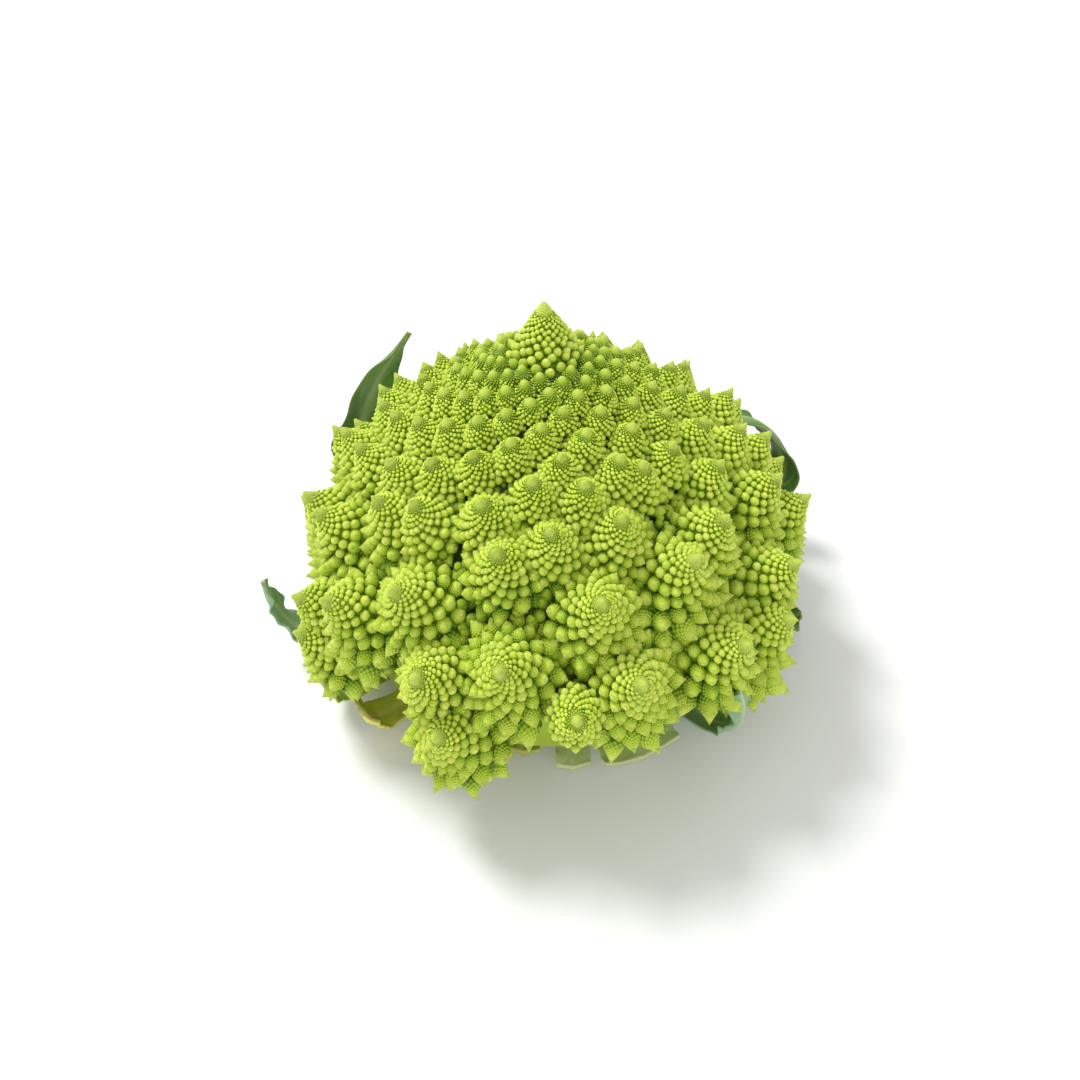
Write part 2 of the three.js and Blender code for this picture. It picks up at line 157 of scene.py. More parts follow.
def flank(distance):
    """Radius and height of the tips' surface: from the knob's foot, sums of cos and -sin of the slope."""
    along = np.arange(0, FLANK_LENGTH, FLANK_STEP)
    slope = steepness(FLANK, along + FLANK_STEP / 2)
    radius = KNOB_RADIUS + np.concatenate([[0], np.cumsum(FLANK_STEP * np.cos(slope))])
    height = CROWN_HEIGHT - KNOB_HEIGHT - np.concatenate([[0], np.cumsum(FLANK_STEP * np.sin(slope))])
    along = np.append(along, FLANK_LENGTH)
    return np.interp(distance, along, radius), np.interp(distance, along, height)


def round_axis(azimuth, radius, height):
    """Points at radius * (sin a, -cos a) and a height, with azimuth a measured from the front."""
    parts = np.broadcast_arrays(radius * np.sin(azimuth), -radius * np.cos(azimuth), height)
    return np.stack(parts, axis=-1).astype(float)


def unit(vectors):
    """Vectors divided by their length."""
    return vectors / np.linalg.norm(vectors, axis=-1, keepdims=True)


def floret_places():
    """Tips, axes and rooms: number n stands at distance rim * exp(-b n - c n^2) and azimuth a0 + n * turn."""
    n = np.arange(FLORET_COUNT)
    turn = np.zeros(FLORET_COUNT)
    shift = np.zeros(FLORET_COUNT)
    for number, degrees, millimetres in OUT_OF_LINE:
        turn[number] = math.radians(degrees)
        shift[number] = millimetres
    in_line = RIM_DISTANCE * np.exp(-SHRINK * n - SHRINK_GROWTH * n ** 2)
    distance = in_line + shift
    azimuth = FIRST_AZIMUTH + n * FLORET_TURN + turn
    tip = round_axis(azimuth, *flank(distance))
    rise = steepness(FLORET_RISE, distance)
    axis = round_axis(azimuth, np.cos(rise), np.sin(rise))
    area = 2 * math.pi * flank(in_line)[0] * in_line * (SHRINK + 2 * SHRINK_GROWTH * n)
    room = np.sqrt(area / HEXAGON)
    for number, share in GROWN:
        room[number] *= share
    tip = tip + axis * (YOUNG_LIFT * room * np.clip((n - YOUNG_FROM) / YOUNG_OVER, 0, 1))[:, None]
    kept = ~np.isin(n, FLORETS_GONE)
    return tip[kept], axis[kept], room[kept], n[kept]


def frames(axis, spin):
    """Rotation matrices whose third column is the axis, turned about it by the spin."""
    helper = np.where(np.abs(axis[..., 2:3]) < 0.9, [0.0, 0.0, 1.0], [1.0, 0.0, 0.0])
    side = unit(np.cross(helper, axis))
    other = np.cross(axis, side)
    c, s = np.cos(spin)[..., None], np.sin(spin)[..., None]
    return np.stack([side * c + other * s, other * c - side * s, axis], axis=-1)


def floret_outline(down, power):
    """Radius at a share of length down: girth * (d / widest)^power, closing to the root past the widest."""
    full = np.minimum(1, down / WIDEST) ** power
    closing = np.clip((down - WIDEST) / (LENGTH - WIDEST), 0, 1)
    return GIRTH * full * (1 - (1 - ROOT_SHARE) * closing ** 1.5)


def crown_outline(down):
    """The crown's own radius by depth below its tip: first the knob, as foot * (depth / height)^bluntness,
    then the flank."""
    radius, height = flank(np.linspace(0, CROWN_REACH, 97))
    knob = KNOB_RADIUS * (np.clip(down, 0, KNOB_HEIGHT) / KNOB_HEIGHT) ** KNOB_BLUNTNESS
    return np.where(down < KNOB_HEIGHT, knob, np.interp(down, CROWN_HEIGHT - height, radius))


def crown_length():
    """The depth of the crown's own foot below its tip."""
    return CROWN_HEIGHT - flank(np.array([CROWN_REACH]))[1][0]


class Heap:
    """Meshes that are gathered into one: points, triangles, and a value or two for each point or corner."""

    def __init__(self):
        self.points, self.faces, self.tone, self.freshness, self.grain, self.rows = [], [], [], [], [], []
        self.count = 0

    def add(self, points, faces, tone, freshness, grain, rows):
        """One more mesh: points, triangles, three values for each point and a UV pair for each corner."""
        self.points.append(points)
        self.faces.append(faces + self.count)
        self.tone.append(tone)
        self.freshness.append(freshness)
        self.grain.append(grain)
        self.rows.append(rows)
        self.count += len(points)

    def piece(self, name, material):
        """All that was added, as one smooth-shaded object with its material."""
        points = np.concatenate(self.points) * MM
        faces = np.concatenate(self.faces)
        mesh = bpy.data.meshes.new(name)
        mesh.vertices.add(len(points))
        mesh.vertices.foreach_set("co", points.astype(np.float32).ravel())
        mesh.loops.add(3 * len(faces))
        mesh.loops.foreach_set("vertex_index", faces.astype(np.int32).ravel())
        mesh.polygons.add(len(faces))
        mesh.polygons.foreach_set("loop_start", np.arange(0, 3 * len(faces), 3, dtype=np.int32))
        mesh.update(calc_edges=True)
        mesh.polygons.foreach_set("use_smooth", np.ones(len(faces), bool))
        for label, values in (("tone", self.tone), ("freshness", self.freshness), ("grain", self.grain)):
            store = mesh.attributes.new(label, "FLOAT", "POINT")
            store.data.foreach_set("value", np.concatenate(values).astype(np.float32))
        layer = mesh.uv_layers.new(name="rows")
        layer.data.foreach_set("uv", np.concatenate(self.rows).astype(np.float32).ravel())
        mesh.validate()
        mesh.materials.append(material)
        piece = bpy.data.objects.new(name, mesh)
        bpy.context.collection.objects.link(piece)
        return piece


def turned_grid(radius, height, sides):
    """A closed-topped surface of revolution: a tip point, then rings of points, and its triangles.
    radius and height run from the tip; ring j is turned by half a side more than ring j - 1."""
    rings = len(radius)
    angle = 2 * math.pi * (np.arange(sides)[None, :] + 0.5 * np.arange(rings)[:, None]) / sides
    ring_points = np.stack([
        radius[:, None] * np.cos(angle), radius[:, None] * np.sin(angle),
        np.broadcast_to(height[:, None], angle.shape)], axis=-1)
    i = np.arange(sides)
    after = (i + 1) % sides
    cap = np.stack([np.zeros(sides, int), 1 + i, 1 + after], axis=1)
    upper = 1 + sides * np.arange(rings - 1)[:, None]
    lower = upper + sides
    first = np.stack([upper + i, lower + i, upper + after], axis=-1)
    second = np.stack([upper + after, lower + i, lower + after], axis=-1)
    faces = np.concatenate([cap, first.reshape(-1, 3), second.reshape(-1, 3)])
    # Corner angles run on past a full turn, so that the rows of small buds meet at the seam.
    cap_angle = np.stack([angle[0] + math.pi / sides, angle[0], angle[0] + 2 * math.pi / sides], axis=1)
    step = 2 * math.pi / sides
    top, bottom = angle[:-1], angle[1:]
    first_angle = np.stack([top, bottom, top + step], axis=-1).reshape(-1, 3)
    second_angle = np.stack([top + step, bottom, bottom + step], axis=-1).reshape(-1, 3)
    corner_angle = np.concatenate([cap_angle, first_angle, second_angle])
    return ring_points.reshape(-1, 3), faces, corner_angle


def whole_shape(points, faces, tone, fresh, angle, reach):
    """A shape that spread can copy: its mesh, with values by point and the corners' angles."""
    return {"points": points, "faces": faces, "tone": tone, "fresh": fresh, "angle": angle, "reach": reach}


def bud_shape(sides, rings, pointed, relief):
    """A bud of room 1 on the plane z = 0: a dome of radius sin(90 f) and height 1 - f^2 or so, for f from 0
    to 1, whose tip is drawn out by 'pointed'; relief moves the ring points out and in by turns."""
    f = np.linspace(0, 1, rings + 1)[1:]
    radius = BUD_RADIUS * np.sin(f * math.pi / 2) ** (0.75 + 0.35 * pointed)
    height = (BUD_HEIGHT + POINT_HEIGHT * pointed) * (1 - f ** (1.9 - 0.85 * pointed)) - BUD_SINK
    radius = np.append(radius, SKIRT_RADIUS)
    height = np.append(height, -SKIRT_DEPTH)
    points, faces, corner_angle = turned_grid(radius, height, sides)
    if relief:
        ring = np.repeat(np.arange(rings + 1), sides)
        side = np.tile(np.arange(sides), rings + 1)
        out = np.where((ring + side) % 2 == 0, 1.0, -1.0) * relief * (ring < rings)
        points[:, :2] *= (1 + out)[:, None]
    top = np.array([[0, 0, BUD_HEIGHT - BUD_SINK + POINT_HEIGHT * pointed]])
    points = np.concatenate([top, points])
    # The tone rises with height on the bud: painted shade, dark low on the bud where it sinks into the
    # crevices and pale at its top.
    tone = np.clip((points[:, 2] + 0.12) / (0.72 + 0.42 * pointed), 0, 1)
    reach = np.linalg.norm(points - points[0], axis=1)
    fresh = np.clip(0.3 + reach / 0.4, 0, 1) if rings > 3 else tone * 0 + 1
    return whole_shape(points, faces, tone, fresh, corner_angle, reach)


def row_marks(angle, reach):
    """Coordinates in which the small buds stand at whole numbers: 8 rows climb one way round and 13 the
    other, u = 8 a / 2 pi + 4.3 ln s and v = 13 a / 2 pi - 2.8 ln s, which spaces them by 0.2 s."""
    climb = np.log(np.maximum(reach, 1e-3))
    up = ROWS_UP * angle / (2 * math.pi) + CLIMB_UP * climb
    down = ROWS_DOWN * angle / (2 * math.pi) - CLIMB_DOWN * climb
    return np.stack([up, down], axis=-1)


def spread(shape, place, turn, size, tone_high, freshness, grain, heap):
    """Copies of a shape: point = place + turn @ (size * point), all copies as one array. The grain kept
    for each point is the height of the small buds there, 0.11 * distance from the tip."""
    points = np.einsum("nij,kj->nki", turn, shape["points"]) * size[:, None, None] + place[:, None, :]
    count, each = len(place), len(shape["points"])
    faces = shape["faces"][None] + each * np.arange(count)[:, None, None]
    tone = tone_high[:, None] * shape["tone"][None]
    height = SMALL_BUD_HEIGHT * (grain * size)[:, None] * shape["reach"][None]
    marks = row_marks(shape["angle"], shape["reach"][shape["faces"]])
    marks = np.broadcast_to(marks[None], (count,) + marks.shape)
    fresh = freshness[:, None] * shape["fresh"][None]
    heap.add(points.reshape(-1, 3), faces.reshape(-1, 3), tone.ravel(), fresh.ravel(), height.ravel(),
             marks.reshape(-1, 2))


def arc_table(outline, length):
    """Distance along an outline from the tip, with the depth, the radius and the slope at each distance."""
    down = np.linspace(0, length, 400)
    radius = outline(down)
    along = np.concatenate([[0], np.cumsum(np.hypot(np.diff(down), np.diff(radius)))])
    slope = np.arctan2(np.gradient(down), np.gradient(radius))
    return along, down, radius, slope


def buds_on(outline, length, widest_along, scale, turn, shrink, phase, hand, smallest):
    """Buds in a spiral: distance from the tip s = widest * exp(-b k), then even steps below the widest.
    Gives, in the floret's own frame, the places, the outward directions and the rooms."""
    along, down, radius, slope = arc_table(outline, length)
    room_at_widest = BUD_SPACING * widest_along
    below = along[-1] - widest_along
    rows_below = below / (room_at_widest * ROW_SPACING)
    lower = max(0, int(rows_below * 2 * math.pi * 0.5 * widest_along / room_at_widest))
    count = int(np.log(widest_along * scale * BUD_SPACING / smallest) / shrink)
    s = np.concatenate([
        widest_along + below * np.arange(lower, 0, -1) / max(lower, 1),
        widest_along * np.exp(-shrink * np.arange(count))])
    k = np.arange(len(s))
    angle = phase + hand * turn * k + DICE.normal(0, UNEVEN_TURN, len(s))
    s = s * (1 + DICE.normal(0, UNEVEN_PLACE, len(s)))
    r = np.interp(s, along, radius)
    d = np.interp(s, along, down)
    tilt = np.interp(s, along, slope)
    place = np.stack([r * np.cos(angle), r * np.sin(angle), -d], axis=1)
    # The outward normal has steepness tilt from the axis; buds lean from it towards the tip.
    lean = tilt - BUD_LEAN + DICE.normal(0, UNEVEN_LEAN, len(s))
    around = angle + DICE.normal(0, UNEVEN_LEAN, len(s))
    normal = np.stack([np.sin(lean) * np.cos(around), np.sin(lean) * np.sin(around), np.cos(lean)], axis=1)
    ring = np.minimum(s, widest_along)
    room = np.sqrt(2 * math.pi * np.interp(ring, along, radius) * ring * shrink / HEXAGON) * scale
    room = room * (1 + DICE.normal(0, UNEVEN_SIZE, len(s)))
    return place * scale, normal, room


# Buds by room: from this many millimetres upwards, the shape
BUD_GRADES = [
    (4.2, bud_shape(14, 6, 1.1, 0.065)),
    (2.8, bud_shape(8, 4, 1.0, 0.03)),
    (1.7, bud_shape(7, 3, 0.5, 0.0)),
    (0.9, bud_shape(5, 2, 0.2, 0.0)),
    (0.0, bud_shape(4, 1, 0.0, 0.0)),
]


def gap_buds():
    """Small buds that fill the gaps: on a spiral at distance rim * exp(-0.00048 k) and azimuth k * the bud
    turn, 0.8 of a room below the tips' surface."""
    k = np.arange(*GAP_NUMBERS)
    distance = RIM_DISTANCE * np.exp(-GAP_SHRINK * k)
    radius, height = flank(distance)
    room = np.sqrt(2 * math.pi * radius * distance * GAP_FLORET_SHRINK / HEXAGON)
    rise = steepness(FLORET_RISE, distance)
    azimuth = BUD_TURN * k + DICE.normal(0, 0.02, len(k))
    depth = room * (GAP_DEPTH + DICE.normal(0, 0.03, len(k)))
    place = round_axis(azimuth, radius - depth * np.cos(rise), height - depth * np.sin(rise))
    axis = round_axis(azimuth, np.cos(rise), np.sin(rise))
    normal = unit(axis + DICE.normal(0, 0.2, axis.shape))
    return place, normal, GAP_SIZE * room * (1 + DICE.normal(0, 0.1, len(k)))


def floret_buds(tip, turn, room, power, phase, hand):
    """The buds of one floret in the head's frame: point = tip + turn @ (point on the floret's outline)."""
    outline = partial(floret_outline, power=power)
    along, down = arc_table(outline, LENGTH)[:2]
    shrink = BUD_SHRINK * (1 + LARGE_SHRINK * np.clip(room / LARGE_ROOM - 1, 0, 1))
    smallest = SMALLEST_BUD + max(0, SMALL_SMOOTHNESS * (SMALL_ROOM - room))
    place, normal, size = buds_on(outline, LENGTH, np.interp(WIDEST, down, along), room, BUD_TURN, shrink,
                                  phase, hand, smallest)
    return place @ turn.T + tip, normal @ turn.T, size


def crown_buds():
    """The crown's own buds, on the further steps of the florets' spiral. Each is sunk along its outward
    direction, so that the tops are level with the florets' tips."""
    length = crown_length()
    end = arc_table(crown_outline, length)[0][-1]
    phase = FIRST_AZIMUTH + FLORET_COUNT * FLORET_TURN - math.pi / 2
    place, normal, size = buds_on(crown_outline, length, end - 0.2, 1.0, FLORET_TURN, CROWN_SHRINK, phase,
                                  1.0, SMALLEST_CROWN_BUD)
    sunk = CROWN_SINK * size * np.clip((size - CROWN_SINK_FROM) / CROWN_SINK_OVER, 0, 1)
    less = CROWN_LESS * np.clip((size - CROWN_SINK_FROM) / CROWN_LESS_OVER, 0, 1)
    return place - normal * sunk[:, None] + [0, 0, CROWN_HEIGHT], normal, size * (1 - less)


def hidden_buds(place, size, owner, tip, axis, room, number, power):
    """Which buds are buried in another floret, that is nearer its axis than its outline by a share of their
    size, or face the core between close florets."""
    hidden = np.zeros(len(place), bool)
    for i in range(len(tip)):
        offset = place - tip[i]
        depth = -offset @ axis[i]
        beside = np.linalg.norm(offset + depth[:, None] * axis[i], axis=1)
        reach = room[i] * floret_outline(np.clip(depth / room[i], 0, LENGTH), power[i])
        inside = beside < reach - BURIED * size
        hidden |= inside & (depth > 0) & (depth < LENGTH * room[i]) & (owner != i)
    own = np.minimum(owner, len(tip) - 1)
    depth = -np.einsum("ij,ij->i", place - tip[own], axis[own])
    low = (number[own] >= OPEN_FLORETS) & (depth >= LOWEST_BUD * room[own])
    return hidden | (low & (owner < len(tip)))


def share_out(owner, grade_of, owners, pieces):
    """Which piece each owner's buds go to: pieces * triangles so far / all triangles, rounded down, so that
    each piece has about as many triangles as the others."""
    triangles = np.array([len(shape["faces"]) for start, shape in BUD_GRADES])[grade_of]
    so_far = np.cumsum(np.bincount(owner, triangles, minlength=owners) + BODY_WEIGHT)
    return np.minimum((so_far - 1) * pieces // so_far[-1], pieces - 1).astype(int)


def bud_colours(place, owner, tip, room):
    """The brightness of each bud, which differs at random and is lowered for buds in the gaps as painted
    shade, and its
    freshness: the distance from its floret's tip over a share of the room, up to 1."""
    bright = np.clip(BRIGHT + DICE.normal(0, BRIGHT_SPREAD, len(place)), *BRIGHT_LIMITS)
    # Buds in the gaps are darkened by GAP_SHADE: painted shade between the florets.
    bright = bright * np.where(owner > len(tip), GAP_SHADE, 1)
    tips = np.concatenate([tip, [[0, 0, CROWN_HEIGHT], [0, 0, 0]]])
    rooms = np.append(room, [CROWN_ROOM, 1.0])
    fresh = np.clip(np.linalg.norm(place - tips[owner], axis=1) / (DULL_SHARE * rooms[owner]), 0, 1)
    return bright, np.maximum(fresh, np.clip(YOUNG_BRIGHT - rooms[owner] / YOUNG_BRIGHT_ROOM, 0, 1))


def grow_curd(heaps):
    """The whole curd: each floret's buds, the crown's, those in the gaps, and the bodies that carry them.
    Owners are the florets, then the crown, then the gaps."""
    tip, axis, room, number = floret_places()
    count = len(tip)
    phase = DICE.uniform(0, 2 * math.pi, count)
    hand = np.where(DICE.random(count) < 0.5, 1.0, -1.0)
    turn = frames(axis, np.zeros(count))
    blunt = np.searchsorted([start for start, power in BLUNTNESS], room, side="right") - 1
    power = np.array([power for start, power in BLUNTNESS])[blunt]
    made = [floret_buds(tip[i], turn[i], room[i], power[i], phase[i], hand[i]) for i in range(count)]
    made.append(crown_buds())
    made.append(gap_buds())
    owner = np.repeat(np.arange(count + 2), [len(size) for place, normal, size in made])
    place, normal, size = (np.concatenate(part) for part in zip(*made))
    keep = ~hidden_buds(place, size, owner, tip, axis, room, number, power)
    place, normal, size, owner = place[keep], normal[keep], size[keep], owner[keep]
    bud_turn = frames(normal, DICE.uniform(0, 2 * math.pi, len(place)))
    bright, fresh = bud_colours(place, owner, tip, room)
    grain = np.clip(size - GRAIN_FROM, 0, 1)
    grade_of = np.select([size >= grade[0] for grade in BUD_GRADES], range(len(BUD_GRADES)))
    heap_of = share_out(owner, grade_of, count + 2, len(heaps))
    for grade, (start, shape) in enumerate(BUD_GRADES):
        for h, heap in enumerate(heaps):
            pick = (grade_of == grade) & (heap_of[owner] == h)
            if pick.any():
                spread(shape, place[pick], bud_turn[pick], size[pick],
                       bright[pick], fresh[pick], grain[pick], heap)
    # The bodies under the buds
    for kind, (start, bluntness) in enumerate(BLUNTNESS):
        shape = body_shape(BODY_SIDES, bluntness)
        for h, heap in enumerate(heaps):
            pick = (heap_of[:count] == h) & (blunt == kind)
            one = np.ones(pick.sum())
            if pick.any():
                spread(shape, tip[pick], turn[pick], room[pick], one, one, one, heap)


def body_shape(sides, power):
    """A floret's body under its buds: the outline turned round the axis, its tip swollen by
    0.012 exp(-(d / 0.15)^2)."""
    depth = np.array([0.012, 0.03, 0.06, 0.1, 0.15, 0.22, 0.3, 0.4, 0.53, 0.68, 0.85, 0.97, 1.08, LENGTH])
    radius = floret_outline(depth, power) + 0.012 * np.exp(-(depth / 0.15) ** 2)
    points, faces, corner_angle = turned_grid(radius, -depth, sides)
    points = np.concatenate([[[0, 0, -0.004]], points])
    reach = np.linalg.norm(points - points[0], axis=1) + 0.01
    # Painted shade: the tone falls away from the tip, so the body is dark down its sides among the other
    # florets.
    tone = 0.22 + 0.62 * np.exp(-(reach / 0.3) ** 2)
    return whole_shape(points, faces, tone, np.clip(reach / 0.45, 0, 1), corner_angle, reach)


def core_shape():
    """The core under the florets: the line through points a little short of some florets' roots, turned
    round the axis and closed by a flat floor at the height CORE_FLOOR."""
    tip, axis, room, number = floret_places()
    wanted = [np.argmin(abs(number - n)) for n in CORE_FLORETS]
    depth = CORE_DEPTH * LENGTH * room[wanted]
    rim = np.hypot(tip[wanted, 0], tip[wanted, 1]) - depth * np.hypot(axis[wanted, 0], axis[wanted, 1])
    height = tip[wanted, 2] - depth * axis[wanted, 2]
    radius = np.concatenate([rim, [CORE_FLOOR_RADIUS, 0.01]])
    height = np.concatenate([height, [CORE_FLOOR, CORE_FLOOR]])
    points, faces, corner_angle = turned_grid(radius, height, CORE_SIDES)
    points = np.concatenate([[[0, 0, CROWN_HEIGHT - CORE_TOP]], points])
    reach = np.linalg.norm(points - points[0], axis=1) / 60
    # Painted shade: it is dark in the gaps between florets; towards the stalk it is paler, the core's own
    # pale flesh.
    tone = np.clip((60 - points[:, 2]) / 40, 0.1, 0.6)
    return whole_shape(points, faces, tone, np.ones(len(points)), corner_angle, reach)


def crown_shape():
    """The crown's own body: its outline turned round the axis. Below the knob it is sunk by 0.3 of the depth
    there, up to 2.6 mm, so that it lies inside its buds."""
    depth = crown_length() * np.array([0.012, 0.03, 0.07, 0.13, 0.22, 0.34, 0.48, 0.64, 0.82, 1.0])
    sunk = np.clip((depth - KNOB_HEIGHT) * 0.3, 0, 2.6)
    radius = crown_outline(depth) - 0.05 - sunk
    points, faces, corner_angle = turned_grid(radius, -depth - 0.6 * sunk, CROWN_SIDES)
    points = np.concatenate([[[0, 0, -0.1]], points])
    reach = np.linalg.norm(points - points[0], axis=1) + 0.2
    # Painted shade: the tone falls away from the crown's tip, so its body is dark down among its buds.
    tone = 0.25 + 0.6 * np.exp(-(reach / 6) ** 2)
    return whole_shape(points, faces, tone, np.clip(reach / 6, 0, 1), corner_angle, reach)


def single(shape, place, heap, grain=1.0):
    """One copy of a shape, unturned: point = place + point."""
    one = np.array([1.0])
    spread(shape, np.array([place], float), np.eye(3)[None], one, one, one, one * grain, heap)


# The leaves: name, azimuth, rib as (radius, height, turn in degrees), half widths as (share of the length,
# millimetres), the angle that each half closes by, how far the midrib stands out, and the material
LEAVES = [
    ("leaf_back_left", 232, [(18, 10, 0), (50, 4.5, 0), (77, 6, 0), (92, 29, -1), (91, 50, -7),
                             (87, 67, -16)],
     [(0, 6), (0.35, 8), (0.6, 15), (0.75, 12), (0.88, 6.5), (1, 2)], 18, 3.0, "leaf"),
    ("leaf_left", 281, [(18, 10, 0), (50, 5, 0), (74, 5, 0), (83, 11, -1), (87, 19, -2), (88, 28, -2)],
     [(0, 5.5), (0.4, 6), (0.7, 4.6), (0.88, 3), (1, 0.9)], 20, 2.6, "blue_leaf"),
    ("stub_left", 298, [(18, 4.5, 0), (50, 4.5, 0), (70, 5.5, 0), (76, 13, 0)],
     [(0, 5.5), (0.5, 5), (0.85, 8), (1, 6)], 20, 2.4, "fresh_stub"),
    ("stub_brown", 313, [(18, 10, 0), (45, 6, 0), (66, 8, 0), (71, 15, 0)],
     [(0, 5.5), (0.5, 4.6), (1, 6.5)], 24, 2.4, "brown_stub"),
    ("stub_front_left", 336, [(18, 4.5, 0), (40, 4.5, 0), (62, 8, 1)],
     [(0, 5.5), (0.5, 6), (1, 7)], 24, 2.4, "brown_stub"),
    ("stub_front", 351, [(18, 10, 0), (40, 6.5, 0), (58, 9, 0)],
     [(0, 5.5), (0.5, 4.6), (1, 4.6)], 26, 2.4, "fresh_stub"),
    ("stub_midrib", 4, [(18, 4.5, 0), (42, 4.5, 0), (60, 6, 0)],
     [(0, 5), (0.5, 4.4), (1, 4.8)], 36, 2.6, "pale_stub"),
    ("stub_front_right", 21, [(18, 10, 0), (45, 5.5, 0), (63, 8, 0)],
     [(0, 5.5), (0.5, 7), (0.8, 11), (1, 11)], 22, 2.6, "pale_stub"),
    ("leaf_front_right", 41, [(18, 4.5, 0), (48, 4.5, 0), (65, 7, 0), (72, 15, -1), (75, 26, -3),
                              (75, 36, -5)],
     [(0, 5.5), (0.4, 4), (0.6, 4.4), (0.85, 3.4), (1, 0.9)], 24, 1.8, "blue_leaf"),
    ("leaf_right", 80, [(18, 10, 0), (50, 5, 0), (72, 4.5, 0), (79, 7, 0)],
     [(0, 5.5), (0.5, 7), (0.8, 7), (1, 2)], 20, 2.4, "leaf"),
    ("leaf_back_right", 115, [(18, 10, 0), (50, 4.5, 0), (74, 5, 0), (89, 24, -4), (88, 37, -2),
                              (83, 43, 4), (78, 41, 11)],
     [(0, 6), (0.3, 6.5), (0.55, 8), (0.8, 5), (1, 1.5)], 18, 2.6, "leaf"),
    ("stub_back_right", 148, [(18, 4.5, 0), (45, 4.5, 0), (68, 7, 0)],
     [(0, 5.5), (0.5, 9), (1, 12)], 22, 2.4, "pale_stub"),
    ("stub_back", 177, [(18, 10, 0), (42, 6, 0), (60, 6, 0)],
     [(0, 5.5), (0.5, 7), (1, 9)], 28, 2.8, "pale_stub"),
    ("leaf_back", 204, [(18, 4.5, 0), (50, 4.5, 0), (78, 9, 0), (88, 28, 2)],
     [(0, 5.5), (0.5, 8), (0.8, 11), (1, 5)], 20, 2.4, "leaf"),
]
# Their grid, the share of the rib where they start, their thickness and the lowest height of a point
LEAF_STATIONS, LEAF_ACROSS = 65, 27
LEAF_START, LEAF_SHEET, LEAF_LOWEST = 0.075, 1.0, 0.25
# Across, points stand at sin of even angles up to this one, so that they are closest at the edge
LEAF_EDGE = math.pi / 2 * 0.98
# The unevenness of the width and the flutter of the edge: size, waves along the leaf, lean across it
WIDTH_WAVES = [(0.05, 19, 2), (0.035, 43, -1)]
FLUTTER_WAVES = [(1.1, 24, 2), (0.5, 51, 0)]
STUB_RAGGED, LEAF_RAGGED = 0.35, 1.0
# How many side veins, their height, and how deep the grooves behind them and behind the midrib are
SIDE_VEINS, VEIN_HEIGHT, VEIN_GROOVE, RIB_GROOVE = 9, 0.35, 0.25, 0.4


def curve(points, share):
    """A smooth line through points: on each part the cubic that passes its two ends, where its slope is half
    the chord between the neighbours of that end."""
    ends = np.concatenate([[2 * points[0] - points[1]], points, [2 * points[-1] - points[-2]]])
    at = share * (len(points) - 1)
    part = np.minimum(at.astype(int), len(points) - 2)
    u = (at - part)[:, None]
    a, b, c, d = ends[part], ends[part + 1], ends[part + 2], ends[part + 3]
    square = 2 * a - 5 * b + 4 * c - d
    cube = 3 * b - a - 3 * c + d
    return 0.5 * (2 * b + (c - a) * u + square * u ** 2 + cube * u ** 3)


def leaf_veins(share, side, parts):
    """Height of the side veins, 0 to 1: ridges where parts * share - 1.5 |side| is a whole number."""
    phase = parts * share - 1.5 * np.abs(side) ** 1.2
    ridge = np.exp(-((phase - np.round(phase)) / 0.07) ** 2)
    return ridge * (1 - 0.8 * np.abs(side)) * np.clip(share * 6, 0, 1)


def waves(table, share, side, phase):
    """The sum of size * sin(number * share + phase + lean * side) over a table of waves."""
    return sum(size * np.sin(number * share + start + lean * side)
               for (size, number, lean), start in zip(table, phase))


def leaf_faces(stations, across):
    """The triangles of two sheets of stations * across points, then of the walls along their four borders."""
    back = stations * across
    a = (np.arange(stations - 1)[:, None] * across + np.arange(across - 1)).reshape(-1)
    b, c, d = a + 1, a + across, a + across + 1
    made = [(a, b, c), (b, d, c), (back + a, back + c, back + b), (back + b, back + c, back + d)]
    first = np.arange(across - 1)
    last = back - across + first
    left = np.arange(stations - 1) * across
    right = left + across - 1
    borders = ((first + 1, first), (last, last + 1), (left, left + across), (right + across, right))
    for start, end in borders:
        made += [(start, end, back + start), (end, back + end, back + start)]
    return np.concatenate([np.stack(corners, axis=1) for corners in made])


